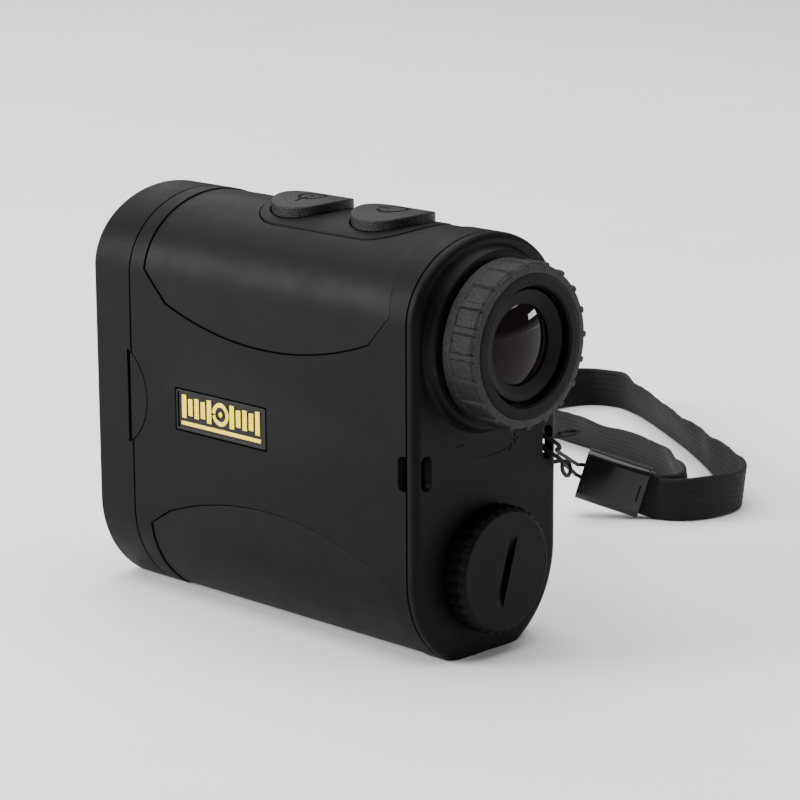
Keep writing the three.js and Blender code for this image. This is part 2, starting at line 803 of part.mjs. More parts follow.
add("battery_cap", batteryCap(), SHELL, batteryBay);
add("cap_seal", capSeal(), RUBBER, batteryBay);
add("cap_contact", rod(7, -32.9, -32.1), METAL, batteryBay);
add("battery", battery(), LABEL, batteryBay);
add("battery_tube", batteryTube(), INNER, batteryBay);
const springProfile = [[2.2, -4.35], [2.8, -4.35], [6.6, -3.2], [6, -3.2]];
add("battery_spring", turned(springProfile), METAL, batteryBay);

add("strap_webbing", webbing(), FABRIC);
add("strap_clamp", strapClamp(), GLOSS);
add("lanyard_cord", cord(), FABRIC);

export default rangefinder;
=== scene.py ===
"""A compact laser rangefinder on a pale floor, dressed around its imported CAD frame.

Builders draw in millimetres in the row frame and settle() turns them into pieces in metres.
"""

import json
import math

import bmesh
import bpy
from mathutils import Matrix, Vector


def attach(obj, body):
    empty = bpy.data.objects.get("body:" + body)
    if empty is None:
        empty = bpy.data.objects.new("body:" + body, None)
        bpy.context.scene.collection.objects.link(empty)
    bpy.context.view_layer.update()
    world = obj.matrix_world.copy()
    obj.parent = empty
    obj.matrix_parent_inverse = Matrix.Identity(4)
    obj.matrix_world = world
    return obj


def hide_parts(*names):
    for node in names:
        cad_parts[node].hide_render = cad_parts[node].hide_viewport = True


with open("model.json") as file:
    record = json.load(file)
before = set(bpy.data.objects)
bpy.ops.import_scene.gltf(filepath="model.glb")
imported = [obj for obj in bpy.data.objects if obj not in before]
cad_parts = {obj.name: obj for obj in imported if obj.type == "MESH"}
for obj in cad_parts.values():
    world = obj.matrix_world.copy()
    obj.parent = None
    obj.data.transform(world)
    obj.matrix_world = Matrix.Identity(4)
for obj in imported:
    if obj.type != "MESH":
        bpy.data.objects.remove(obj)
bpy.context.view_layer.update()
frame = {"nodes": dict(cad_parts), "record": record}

MM = 0.001
TURN = 2 * math.pi

# Casing section and stations, as in the CAD model.
HEIGHT = 76.0
HALF_WIDTH = 18.6
CROWN_RISE = 14.5
CROWN_Z = HEIGHT - CROWN_RISE
BELLY_DROP = 18.9
BELLY_Z = 16.4
WALL = 2.4
REAR_FACE, REAR_PARTING = -38.1, -36.0
FRONT_PARTING, FRONT_FACE = 36.4, 48.0
PARTING_GAP = 0.3
PAST = 60.0
SIGHT_Z, LASER_Z, CAP_Z = 57.3, 22.0, 15.8


# ---- camera -----------------------------------------------------------------------------------

def add_camera():
    """The photographed view, from behind, to the left and a little above."""
    place = Vector((-372.7, -381.8, 167.5)) * MM
    azimuth, elevation, roll = (math.radians(a) for a in (-45.56, 13.45, -0.25))
    back = Vector((
        math.sin(azimuth) * math.cos(elevation),
        -math.cos(azimuth) * math.cos(elevation),
        math.sin(elevation),
    ))
    right = Vector((math.cos(azimuth), math.sin(azimuth), 0))
    up = back.cross(right)
    right, up = (
        right * math.cos(roll) + up * math.sin(roll),
        up * math.cos(roll) - right * math.sin(roll),
    )
    data = bpy.data.cameras.new("camera")
    data.lens = 133.35
    data.sensor_width = 36
    data.clip_start = 0.01
    camera = bpy.data.objects.new("camera", data)
    camera.matrix_world = Matrix.Translation(place) @ Matrix((right, up, back)).transposed().to_4x4()
    bpy.context.scene.collection.objects.link(camera)
    bpy.context.scene.camera = camera


add_camera()


# ---- mesh helpers -----------------------------------------------------------------------------

def draft(verts, faces, name="draft"):
    """An object in millimetres, not yet a piece."""
    mesh = bpy.data.meshes.new(name)
    mesh.from_pydata([tuple(v) for v in verts], [], faces)
    obj = bpy.data.objects.new(name, mesh)
    bpy.context.scene.collection.objects.link(obj)
    return obj


def from_bmesh(bm, name="draft"):
    mesh = bpy.data.meshes.new(name)
    bm.to_mesh(mesh)
    bm.free()
    obj = bpy.data.objects.new(name, mesh)
    bpy.context.scene.collection.objects.link(obj)
    return obj


def remove(*objs):
    for obj in objs:
        mesh = obj.data
        bpy.data.objects.remove(obj)
        bpy.data.meshes.remove(mesh)


def evaluated(obj):
    """A new draft that holds obj with its modifiers applied; obj goes."""
    graph = bpy.context.evaluated_depsgraph_get()
    mesh = bpy.data.meshes.new_from_object(obj.evaluated_get(graph))
    made = bpy.data.objects.new(obj.name, mesh)
    bpy.context.scene.collection.objects.link(made)
    remove(obj)
    return made


def combine(base, operation, *others):
    for other in others:
        modifier = base.modifiers.new(operation.lower(), "BOOLEAN")
        modifier.operation = operation
        modifier.object = other
        modifier.solver = "EXACT"
    made = evaluated(base)
    remove(*others)
    return made


def cut(base, *others):
    return combine(base, "DIFFERENCE", *others)


def join(base, *others):
    return combine(base, "UNION", *others)


def meet(base, *others):
    return combine(base, "INTERSECT", *others)


def bevelled(obj, width, segments=2, angle=33):
    modifier = obj.modifiers.new("bevel", "BEVEL")
    modifier.width = width
    modifier.segments = segments
    modifier.limit_method = "ANGLE"
    modifier.angle_limit = math.radians(angle)
    modifier.use_clamp_overlap = False
    modifier.miter_outer = "MITER_SHARP"
    return evaluated(obj)


def settle(obj, name, material, body, slot, *nodes, sharp=38):
    """Turns a draft into a finished piece in metres that rides on a body and stands for CAD nodes."""
    mesh = obj.data
    bm = bmesh.new()
    bm.from_mesh(mesh)
    bmesh.ops.remove_doubles(bm, verts=bm.verts, dist=0.002)
    bmesh.ops.dissolve_degenerate(bm, edges=bm.edges, dist=0.002)
    bmesh.ops.recalc_face_normals(bm, faces=bm.faces)
    bm.to_mesh(mesh)
    bm.free()
    mesh.transform(Matrix.Scale(MM, 4))
    mesh.shade_smooth()
    mesh.set_sharp_from_angle(angle=math.radians(sharp))
    even = obj.modifiers.new("even_normals", "WEIGHTED_NORMAL")
    even.keep_sharp = True
    obj = evaluated(obj)
    mesh = obj.data
    mesh.materials.clear()
    mesh.materials.append(material)
    obj.name = name
    mesh.name = name
    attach(obj, body)
    if nodes:
        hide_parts(*nodes)
    return obj


def casing_normal(x, z):
    """The casing surface's own direction at a point of its section."""
    if z > CROWN_Z:
        return Vector((x / HALF_WIDTH**2, 0, (z - CROWN_Z) / CROWN_RISE**2)).normalized()
    if z < BELLY_Z:
        return Vector((x / HALF_WIDTH**2, 0, (z - BELLY_Z) / BELLY_DROP**2)).normalized()
    return Vector((math.copysign(1, x), 0, 0))


def casing_inset(x, z):
    """How far a point lies inside the casing surface."""
    if z > CROWN_Z:
        reach = math.hypot(x / HALF_WIDTH, (z - CROWN_Z) / CROWN_RISE)
    elif z < BELLY_Z:
        reach = math.hypot(x / HALF_WIDTH, (z - BELLY_Z) / BELLY_DROP)
    else:
        reach = abs(x) / HALF_WIDTH
    return (1 - reach) * (HALF_WIDTH if abs(x) > 0.6 * HALF_WIDTH else CROWN_RISE)


def follow_casing(obj):
    """Gives the skin of a finished piece the smooth casing's normals, whatever its facets."""
    mesh = obj.data
    own = {}
    for vertex in mesh.vertices:
        x, z = vertex.co.x / MM, vertex.co.z / MM
        if -0.1 < casing_inset(x, z) < 0.4:
            own[vertex.index] = casing_normal(x, z)
    normals = [Vector(corner.vector) for corner in mesh.corner_normals]
    for loop in mesh.loops:
        ideal = own.get(loop.vertex_index)
        if ideal is not None and normals[loop.index].dot(ideal) > 0.9:
            normals[loop.index] = ideal
    mesh.normals_split_custom_set([tuple(n) for n in normals])


AXES = {
    "X": lambda u, v, w: (w, u, v),
    "Y": lambda u, v, w: (u, w, v),
    "Z": lambda u, v, w: (u, v, w),
}


def prism(outline, low, high, axis):
    """An outline run along an axis; its own two coordinates are the others in X, Y, Z order."""
    place = AXES[axis]
    count = len(outline)
    verts = [place(u, v, w) for w in (low, high) for u, v in outline]
    faces = [list(range(count)), list(range(count, 2 * count))]
    faces += [[i, (i + 1) % count, (i + 1) % count + count, i + count] for i in range(count)]
    bm = bmesh.new()
    made = [bm.verts.new(v) for v in verts]
    for face in faces:
        bm.faces.new([made[i] for i in face])
    bmesh.ops.recalc_face_normals(bm, faces=bm.faces)
    return from_bmesh(bm)


def arc(cx, cy, rx, start, end, steps, ry=None):
    """Points on an arc in degrees, both ends included."""
    ry = rx if ry is None else ry
    angles = [math.radians(start + (end - start) * i / steps) for i in range(steps + 1)]
    return [(cx + rx * math.cos(a), cy + ry * math.sin(a)) for a in angles]


def rectangle(a0, b0, a1, b1):
    return [(a0, b0), (a1, b0), (a1, b1), (a0, b1)]


def circle(cx, cy, radius, steps=64):
    return arc(cx, cy, radius, 0, 360, steps)[:-1]


def rounded_box(a0, b0, a1, b1, corner, steps=10):
    return (
        arc(a1 - corner, b0 + corner, corner, -90, 0, steps)
        + arc(a1 - corner, b1 - corner, corner, 0, 90, steps)
        + arc(a0 + corner, b1 - corner, corner, 90, 180, steps)
        + arc(a0 + corner, b0 + corner, corner, 180, 270, steps)
    )


def turned(profile, z=0.0, x=0.0, segments=128, closed=True):
    """A profile of (radius, y) turned about the line along Y through (x, z)."""
    verts, faces = [], []
    count = len(profile)
    for i in range(segments):
        angle = TURN * i / segments
        for radius, y in profile:
            verts.append((x + radius * math.cos(angle), y, z + radius * math.sin(angle)))
    for i in range(segments):
        j = (i + 1) % segments
        for k in range(count if closed else count - 1):
            n = (k + 1) % count
            faces.append([i * count + k, j * count + k, j * count + n, i * count + n])
    obj = draft(verts, faces)
    bm = bmesh.new()
    bm.from_mesh(obj.data)
    bmesh.ops.remove_doubles(bm, verts=bm.verts, dist=1e-4)
    bmesh.ops.dissolve_degenerate(bm, edges=bm.edges, dist=1e-4)
    bmesh.ops.recalc_face_normals(bm, faces=bm.faces)
    bm.to_mesh(obj.data)
    bm.free()
    return obj


def loft(rings):
    """A closed form through rings of points that all have the same count."""
    columns = len(rings[0])
    verts = [v for ring in rings for v in ring]
    faces = grid_faces(len(rings), columns, wrap_columns=True)
    faces += [list(range(columns)), list(range(len(verts) - columns, len(verts)))]
    obj = draft(verts, faces)
    bm = bmesh.new()
    bm.from_mesh(obj.data)
    bmesh.ops.recalc_face_normals(bm, faces=bm.faces)
    bm.to_mesh(obj.data)
    bm.free()
    return obj


def box(x0, x1, y0, y1, z0, z1):
    return prism([(x0, y0), (x1, y0), (x1, y1), (x0, y1)], z0, z1, "Z")


def eased(profile, radius, steps=4):
    """A closed profile with each corner rounded off by up to the radius."""
    made = []
    count = len(profile)
    for i in range(count):
        here = Vector(profile[i])
        before = Vector(profile[i - 1]) - here
        after = Vector(profile[(i + 1) % count]) - here
        if here.x < 1e-6:
            made.append(tuple(here))
            continue
        reach = min(radius, 0.45 * before.length, 0.45 * after.length)
        start = here + before.normalized() * reach
        end = here + after.normalized() * reach
        for k in range(steps + 1):
            t = k / steps
            point = start * (1 - t) ** 2 + here * (2 * t * (1 - t)) + end * t * t
            made.append(tuple(point))
    return made


def grid_faces(rows, columns, wrap_rows=False, wrap_columns=False):
    faces = []
    for i in range(rows if wrap_rows else rows - 1):
        for j in range(columns if wrap_columns else columns - 1):
            a, b = i * columns + j, i * columns + (j + 1) % columns
            c, d = ((i + 1) % rows) * columns + (j + 1) % columns, ((i + 1) % rows) * columns + j
            faces.append([a, b, c, d])
    return faces


def smoothstep(low, high, value):
    t = min(1.0, max(0.0, (value - low) / (high - low)))
    return t * t * (3 - 2 * t)


# ---- casing section ---------------------------------------------------------------------------

def section(inset, crown_steps=72, belly_steps=22):
    """The casing outline in X and Z, drawn in by the inset and cut off flat at that height."""
    wide = HALF_WIDTH - inset
    drop = BELLY_DROP - inset
    foot = math.degrees(math.asin((BELLY_Z - inset) / drop))
    return (
        arc(0, CROWN_Z, wide, 0, 180, crown_steps, CROWN_RISE - inset)
        + arc(0, BELLY_Z, wide, 180, 180 + foot, belly_steps, drop)
        + arc(0, BELLY_Z, wide, -foot, 0, belly_steps, drop)
    )


def crown(x, inset=0.0):
    """Height of the crown above x."""
    return CROWN_Z + (CROWN_RISE - inset) * math.sqrt(max(0.0, 1 - (x / (HALF_WIDTH - inset)) ** 2))


def hull(inset, y0=-PAST, y1=PAST):
    return prism(section(inset), y0, y1, "Y")


def skin(top, bottom):
    return cut(hull(top), hull(bottom, -PAST - 1, PAST + 1))


def rounded_hull(y0, y1, end, radius, steps, keep_base):
    """A run of the casing with one end's rim rounded over, all round or all but at the base."""
    obj = hull(0, y0, y1)
    bm = bmesh.new()
    bm.from_mesh(obj.data)
    rim = [
        e for e in bm.edges
        if all(abs(v.co.y - end) < 1e-4 for v in e.verts)
        and not (keep_base and all(v.co.z < 1e-3 for v in e.verts))
    ]
    bmesh.ops.bevel(
        bm, geom=rim, offset=radius, offset_type="OFFSET", segments=steps, profile=0.5,
        affect="EDGES", clamp_overlap=False,
    )
    bm.to_mesh(obj.data)
    bm.free()
    return obj


# ---- materials --------------------------------------------------------------------------------

def new_material(name):
    made = bpy.data.materials.new(name)
    made.use_nodes = True
    tree = made.node_tree
    return made, tree, tree.nodes["Principled BSDF"]


def node(tree, kind, **values):
    made = tree.nodes.new(kind)
    for key, value in values.items():
        if hasattr(made, key):
            setattr(made, key, value)
        else:
            made.inputs[key.replace("_", " ").title()].default_value = value
    return made


NOISE_MIDDLE = (0.3, 0.7)  # most of a noise's values lie between these


def noise(tree, coordinates, size, detail=3.0):
    """A noise whose blobs are about the given size in millimetres."""
    made = node(tree, "ShaderNodeTexNoise")
    made.inputs["Scale"].default_value = 1 / (size * MM)
    made.inputs["Detail"].default_value = detail
    made.inputs["Roughness"].default_value = 0.55
    tree.links.new(coordinates, made.inputs["Vector"])
    return made.outputs["Fac"]


def spread(tree, value, low, high):
    """Maps the middle of a noise onto a range of values."""
    made = node(tree, "ShaderNodeMapRange")
    made.inputs["From Min"].default_value, made.inputs["From Max"].default_value = NOISE_MIDDLE
    made.inputs["To Min"].default_value = low
    made.inputs["To Max"].default_value = high
    tree.links.new(value, made.inputs["Value"])
    return made.outputs["Result"]


def two_tones(tree, value, dark, light):
    """Runs from dark to light over the middle of a noise."""
    ramp = node(tree, "ShaderNodeValToRGB")
    first, last = ramp.color_ramp.elements
    first.position, last.position = NOISE_MIDDLE
    first.color = (*dark, 1)
    last.color = (*light, 1)
    tree.links.new(value, ramp.inputs["Fac"])
    return ramp.outputs["Color"]


def bump(tree, height, depth, strength=1.0, below=None):
    """Relief of the given depth in millimetres, over another one if given."""
    made = node(tree, "ShaderNodeBump")
    made.inputs["Strength"].default_value = strength
    made.inputs["Distance"].default_value = depth * MM
    tree.links.new(height, made.inputs["Height"])
    if below is not None:
        tree.links.new(below, made.inputs["Normal"])
    return made.outputs["Normal"]


def moulded(name, colour, roughness, grain=0.02, grain_size=0.16, mottle=0.12, specular=0.5, edge_wear_and_highlight=0.0,
            metallic=0.0):
    """A moulded or machined finish: fine grain, faint mottling, and optional lighter edges, partly wear
    and partly painted highlight.
    """
    made, tree, shader = new_material(name)
    place = node(tree, "ShaderNodeTexCoord").outputs["Object"]
    tone = noise(tree, place, 14.0)
    dark = [c * (1 - mottle) for c in colour]
    light = [c * (1 + mottle) for c in colour]
    shade = two_tones(tree, tone, dark, light)
    # Convex edges found by pointiness are lightened: partly wear, partly a painted highlight.
    if edge_wear_and_highlight:
        edge = node(tree, "ShaderNodeNewGeometry").outputs["Pointiness"]
        mask = node(tree, "ShaderNodeMapRange")
        mask.inputs["From Min"].default_value = 0.53
        mask.inputs["From Max"].default_value = 0.62
        mask.inputs["To Max"].default_value = edge_wear_and_highlight
        tree.links.new(edge, mask.inputs["Value"])
        mix = node(tree, "ShaderNodeMix", data_type="RGBA")
        mix.inputs[7].default_value = (*[c * 3 + 0.01 for c in colour], 1)
        tree.links.new(mask.outputs["Result"], mix.inputs[0])
        tree.links.new(shade, mix.inputs[6])
        shade = mix.outputs[2]
    tree.links.new(shade, shader.inputs["Base Color"])
    tree.links.new(
        spread(tree, noise(tree, place, 5.0), roughness - 0.04, roughness + 0.04),
        shader.inputs["Roughness"],
    )
    fine = noise(tree, place, grain_size, detail=2.0)
    tree.links.new(bump(tree, fine, grain), shader.inputs["Normal"])
    shader.inputs["Metallic"].default_value = metallic
    shader.inputs["Specular IOR Level"].default_value = specular
    return made


BLACK = (0.0035, 0.0035, 0.0037)
SHELL = moulded("soft_touch_shell", BLACK, 0.5, specular=0.08, edge_wear_and_highlight=0.2)
GRIP = moulded("grip_panel", [c * 1.1 for c in BLACK], 0.48, grain=0.03, grain_size=0.2, specular=0.09)
RUBBER = moulded(
    "grainy_rubber", [c * 2.1 for c in BLACK], 0.5, grain=0.24, grain_size=0.34, specular=0.2,
    edge_wear_and_highlight=0.5,
)
SEAL = moulded("seal_rubber", [c * 0.8 for c in BLACK], 0.6, specular=0.1)
INNER = moulded("matt_inner", [c * 0.5 for c in BLACK], 0.5, grain=0.01, specular=0.1)
INK = moulded("sign_ink", [c * 0.3 for c in BLACK], 0.7, grain=0.01, specular=0.05)
GLOSS = moulded("polished_black", (0.006, 0.006, 0.0066), 0.13, grain=0.0015, mottle=0.05, specular=0.35)
PLATE = moulded("badge_plate", BLACK, 0.2, grain=0.003, specular=0.2)
METAL = moulded("machined_metal", (0.3, 0.305, 0.31), 0.38, grain=0.004, metallic=1.0)
BOARD = moulded("solder_mask", (0.012, 0.10, 0.035), 0.4)
WRAP = moulded("battery_sleeve", (0.05, 0.09, 0.17), 0.35)
GOLD = moulded("gold_relief", (1.0, 0.76, 0.07), 0.34, grain=0.006, mottle=0.08, metallic=0.9)
CORD = moulded("braided_cord", (0.005, 0.005, 0.0055), 0.7, grain=0.05, grain_size=0.12, specular=0.2)


def coated_glass(name, tint, sheen_tint, clear=1.0):
    """Glass with a body tint and a coloured antireflection coating; clear is how much it lets by. Where
    it lets nothing by, the tint is painted shade for the dark inside behind the glass.
    """
    made, tree, shader = new_material(name)
    place = node(tree, "ShaderNodeTexCoord").outputs["Object"]
    tone = noise(tree, place, 9.0)
    tree.links.new(
        two_tones(tree, tone, [c * 0.94 for c in tint], tint), shader.inputs["Base Color"]
    )
    tree.links.new(spread(tree, noise(tree, place, 3.0), 0.004, 0.014), shader.inputs["Roughness"])
    shader.inputs["Transmission Weight"].default_value = clear
    shader.inputs["IOR"].default_value = 1.62
    shader.inputs["Specular IOR Level"].default_value = 0.12
    shader.inputs["Specular Tint"].default_value = (*sheen_tint, 1)
    return made


# The eye lens lets no light by: its near-black tint is painted shade for the dark ocular seen through
# it.
EYE_GLASS = coated_glass("eye_glass", (0.006, 0.004, 0.005), (0.55, 0.42, 0.5), clear=0.0)
FRONT_GLASS = coated_glass("front_glass", (0.55, 0.42, 0.62), (0.75, 0.45, 1.0))
CLEAR_GLASS = coated_glass("prism_glass", (0.92, 0.95, 0.96), (1.0, 1.0, 1.0))


def woven(name, colour):
    """Narrow webbing: ribs are in the mesh, and the fine weave across them is relief."""
    made, tree, shader = new_material(name)
    place = node(tree, "ShaderNodeUVMap").outputs["UV"]
    scaled = node(tree, "ShaderNodeMapping")
    tree.links.new(place, scaled.inputs["Vector"])
    picks = node(tree, "ShaderNodeTexWave", wave_type="BANDS", bands_direction="X")
    picks.inputs["Scale"].default_value = 0.62
    picks.inputs["Distortion"].default_value = 1.2
    picks.inputs["Detail"].default_value = 1.0
    tree.links.new(scaled.outputs["Vector"], picks.inputs["Vector"])
    fuzz = noise(tree, node(tree, "ShaderNodeTexCoord").outputs["Object"], 0.5, detail=4.0)
    dark = [c * 0.75 for c in colour]
    light = [c * 1.3 for c in colour]
    tree.links.new(two_tones(tree, fuzz, dark, light), shader.inputs["Base Color"])
    tree.links.new(spread(tree, fuzz, 0.72, 0.9), shader.inputs["Roughness"])
    rough = bump(tree, fuzz, 0.05)
    tree.links.new(bump(tree, picks.outputs["Fac"], 0.05, 0.55, rough), shader.inputs["Normal"])
    shader.inputs["Specular IOR Level"].default_value = 0.25
    shader.inputs["Sheen Weight"].default_value = 0.03
    shader.inputs["Sheen Roughness"].default_value = 0.4
    return made


WEBBING_CLOTH = woven("ribbed_webbing", (0.006, 0.006, 0.0063))


# ---- cords ------------------------------------------------------------------------------------

WEBBING_WIDTH = 9.2
WEBBING_THICKNESS = 1.1
RIPPLE_EASE = 12  # stretch over which the ripples fade in and out
RIPPLE_END = 268  # run along the lower edge by which they have faded out
BEAD_PITCH = 0.65
# Lower edge of the webbing as x, y, z, then its lean in degrees to the left of travel.
WEBBING_ROUTE = [
    (82.3, 3.8, 2.7, 4), (84.7, 0.3, 1.5, 4), (86.3, -2.1, 0.7, 3), (87.5, -4.2, 0.1, 2),
    (88.6, -6.7, 0, 1), (90.3, -9.2, 0, 0), (93.2, -11.3, 0, -1), (97, -12.7, 0, -3),
    (101, -13, 0, -6), (104.6, -12.4, 0, -8), (108.3, -10.4, 0, -8), (111.8, -7, 0, -6),
    (116.8, -0.4, 0, 0), (124, 8.9, 0, 8), (131, 18.2, 0, 14), (137.4, 27.4, 0, 18),
    (143.6, 37.2, 0, 20), (149.8, 47.3, 0, 18), (155, 57, 0, 12), (157.6, 65, 0, 4),
    (156, 70.8, 0, -2), (150.6, 73.6, 0, -6), (141, 74, 0, -12), (132, 70.5, 0, -19),
    (127, 63.5, 0, -23), (124.3, 54, 0, -25), (122.2, 43, 0, -26), (119.5, 30, 0, -26),
    (116, 18, 0, -25), (112, 8.8, 0, -22), (106, 2.2, 0, -17), (100.4, -3.2, 0, -12),
    (96, -6.5, 0, -8), (92.9, -6.9, 0, -6), (90.5, -5.4, 0, -5), (88.9, -3.5, 0, -4),
    (87.3, -1.4, 0.6, -4), (85.7, 1, 1.4, -4), (83.3, 4.5, 2.7, -4),
]
CORD_DIAMETER = 0.8
# A short hooked tail, round the post between the slots, out to the clamp, round inside its far end,
# back to the slots, and a small loop that ends under the side slot.
CORD_ROUTE = [
    (26, -31.9, 34.3), (27.6, -31.9, 34.4), (28.8, -32.8, 34.5), (28.8, -34.2, 34.6),
    (27.5, -35, 34.6), (23.5, -35, 34.7), (17.2, -34.9, 36.3), (15.6, -36.2, 36.8),
    (15.6, -38.4, 36.5), (16.7, -39.5, 35.5), (18.2, -38.9, 34.3), (19.5, -37.1, 33.5),
    (47.8, -15.1, 22.5), (76.1, 7, 11.9), (78, 8.5, 11.2), (79.4, 8.9, 10.9),
    (80.6, 8.2, 10.7), (81.8, 6.6, 10.4), (82.6, 5.3, 9.5), (82.6, 5.2, 8.1),
    (81.7, 6.4, 7), (80.4, 8.1, 7.5), (79.2, 9.2, 8.4), (77.6, 8.9, 9.2),
    (75.6, 7.4, 10.1), (49.1, -13.3, 20.6), (22.6, -34.1, 31.1), (20.3, -34.9, 32.4),
    (18.3, -34.8, 34), (16.4, -35.3, 34.6), (15.5, -36.8, 34.5), (15.9, -38.7, 33.8),
    (18, -39.4, 32.2), (20.1, -37.9, 29.7), (22.2, -36.8, 28.1), (23.9, -36.1, 27.6),
    (25, -35.6, 28.3), (24.9, -35.2, 29.5), (23.7, -34.9, 30.1), (21.2, -34.8, 30.4),
]


def smooth_route(points, steps):
    """Samples a centripetal Catmull-Rom curve through the points; extra values go along with it."""
    knots = [Vector(p[:3]) for p in points]
    extras = [p[3:] for p in points]
    first = knots[0] * 2 - knots[1]
    last = knots[-1] * 2 - knots[-2]
    padded = [first, *knots, last]
    made = []
    for i in range(len(knots) - 1):
        p0, p1, p2, p3 = padded[i:i + 4]
        spans = [max((b - a).length, 1e-6) ** 0.5 for a, b in ((p0, p1), (p1, p2), (p2, p3))]
        d0, d1, d2 = spans
        m1 = ((p1 - p0) / d0 - (p2 - p0) / (d0 + d1) + (p2 - p1) / d1) * d1
        m2 = ((p2 - p1) / d1 - (p3 - p1) / (d1 + d2) + (p3 - p2) / d2) * d1
        for k in range(steps + (i == len(knots) - 2)):
            t = k / steps
            point = (
                p1 * (2 * t**3 - 3 * t**2 + 1) + m1 * (t**3 - 2 * t**2 + t)
                + p2 * (3 * t**2 - 2 * t**3) + m2 * (t**3 - t**2)
            )
            extra = [a + (b - a) * t for a, b in zip(extras[i], extras[i + 1])]
            made.append((point, *extra))
    return made


def tangents(points):
    count = len(points)
    return [
        (points[min(i + 1, count - 1)] - points[max(i - 1, 0)]).normalized() for i in range(count)
    ]


def add_webbing():
    """The wrist loop: flat webbing on its edge, with lengthwise ribs and a rolled selvedge."""
    samples = smooth_route(WEBBING_ROUTE, 20)
    feet = [s[0] for s in samples]
    leans = [math.radians(s[1]) for s in samples]
    ahead = tangents(feet)
    around = []  # offsets across the band: along its width, and out from its middle
    ribs, per_rib = 7, 8
    half = WEBBING_THICKNESS / 2
    width_steps = ribs * per_rib
    for side in (1, -1):
        for k in range(width_steps + 1):
            t = k / width_steps if side == 1 else 1 - k / width_steps
            ridge = abs(math.sin(math.pi * ribs * t)) ** 0.6
            edge = min(1.0, min(t, 1 - t) * WEBBING_WIDTH / 0.5)
            around.append((t * WEBBING_WIDTH, side * half * (0.78 + 0.22 * ridge) * edge ** 0.45))
    verts, centre = [], []
    run = 0.0
    for i, (foot, lean, travel) in enumerate(zip(feet, leans, ahead)):
        run += (foot - feet[i - 1]).length if i else 0.0
        free = smoothstep(0, RIPPLE_EASE, run) * smoothstep(0, RIPPLE_EASE, RIPPLE_END - run)
        lean += math.radians(2.2) * free * math.sin(run / 4.1 + 1.3 * math.sin(run / 9.7))
        scale = 1 + 0.022 * free * math.sin(run / 2.7 + 0.8 * math.sin(run / 6.1))
        scale += 0.008 * math.sin(TURN * run / BEAD_PITCH)
        left = Vector((-travel.y, travel.x, 0)).normalized()
        upright = travel.cross(left)
        rise = left * math.sin(lean) + upright * math.cos(lean)
        out = left * math.cos(lean) - upright * math.sin(lean)
        lift = Vector((0, 0, half * abs(math.sin(lean))))
        centre.append(foot + lift + rise * (WEBBING_WIDTH / 2))
        for across, off in around:
            verts.append(foot + lift + rise * (across * scale) + out * off)
    columns = len(around)
    faces = grid_faces(len(feet), columns, wrap_columns=True)
    faces += [list(range(columns)), list(range(len(verts) - columns, len(verts)))]
    obj = draft(verts, faces)
    layer = obj.data.uv_layers.new(name="along")
    run = [0.0]
    for a, b in zip(centre, centre[1:]):
        run.append(run[-1] + (b - a).length)
    for loop in obj.data.loops:
        row, column = divmod(loop.vertex_index, columns)
        layer.data[loop.index].uv = (run[row], around[column][0])
    piece = settle(obj, "wrist_webbing", WEBBING_CLOTH, "root", "webbing", "strap_webbing", sharp=70)


def add_cord():
    """The thin two-strand cord, its twist in the mesh."""
    points = [s[0] for s in smooth_route(CORD_ROUTE, 14)]
    ahead = tangents(points)
    side = Vector((0, 0, 1))
    sides = 14
    radius = CORD_DIAMETER / 2
    pitch = 1.7
    verts = []
    run = 0.0
    for i, (point, travel) in enumerate(zip(points, ahead)):
        if i:
            run += (point - points[i - 1]).length
        side = (side - travel * side.dot(travel)).normalized()
        other = travel.cross(side)
        for k in range(sides):
            angle = TURN * k / sides
            bulge = 1.03 - 0.12 * math.sin(angle - math.pi * run / pitch) ** 2
            verts.append(
                point + (side * math.cos(angle) + other * math.sin(angle)) * (radius * bulge)
            )
    faces = grid_faces(len(points), sides, wrap_columns=True)
    faces += [list(range(sides)), list(range(len(verts) - sides, len(verts)))]
    piece = settle(
        draft(verts, faces), "lanyard_line", CORD, "root", "cord", "lanyard_cord", sharp=70
    )


CLAMP = {"length": 13.6, "height": 10.7, "thickness": 4.6}
CLAMP_TURNS = (("Z", 33.9), ("X", 16.2), ("Y", 4.0))
CLAMP_START = Vector((86.14, -0.85, 0.16))


def add_clamp():
    """The polished sleeve on the webbing's ends: walls bowed a little, and a fine mould slit."""
    length, height, half = CLAMP["length"], CLAMP["height"], CLAMP["thickness"] / 2
    outline = rounded_box(-half, 0, half, height, 1.5, 12)
    steps = 16
    rings = []
    for i in range(steps + 1):
        t = i / steps
        swell = 1 + 0.2 * (1 - (2 * t - 1) ** 2)
        rings.append([(x * swell, t * length, z) for x, z in outline])
    outer = loft(rings)
    inner = prism(
        rounded_box(-half + 0.7, 0.5, half - 0.7, height - 0.5, 0.4, 4), -1, length + 1, "Y"
    )
    slit = box(-half - 1, -half + 0.1, 1.1, 1.35, 3.6, 6.9)
    sleeve = bevelled(cut(outer, inner, slit), 0.16, 3)
    place = Matrix.Translation(CLAMP_START)
    for axis, angle in CLAMP_TURNS:
        place = place @ Matrix.Rotation(math.radians(angle), 4, axis)
    sleeve.data.transform(place)
    return settle(sleeve, "webbing_clamp", GLOSS, "root", "gloss_black", "strap_clamp", sharp=50)


clamp_piece = add_clamp()
add_webbing()
add_cord()


# ---- casing -----------------------------------------------------------------------------------

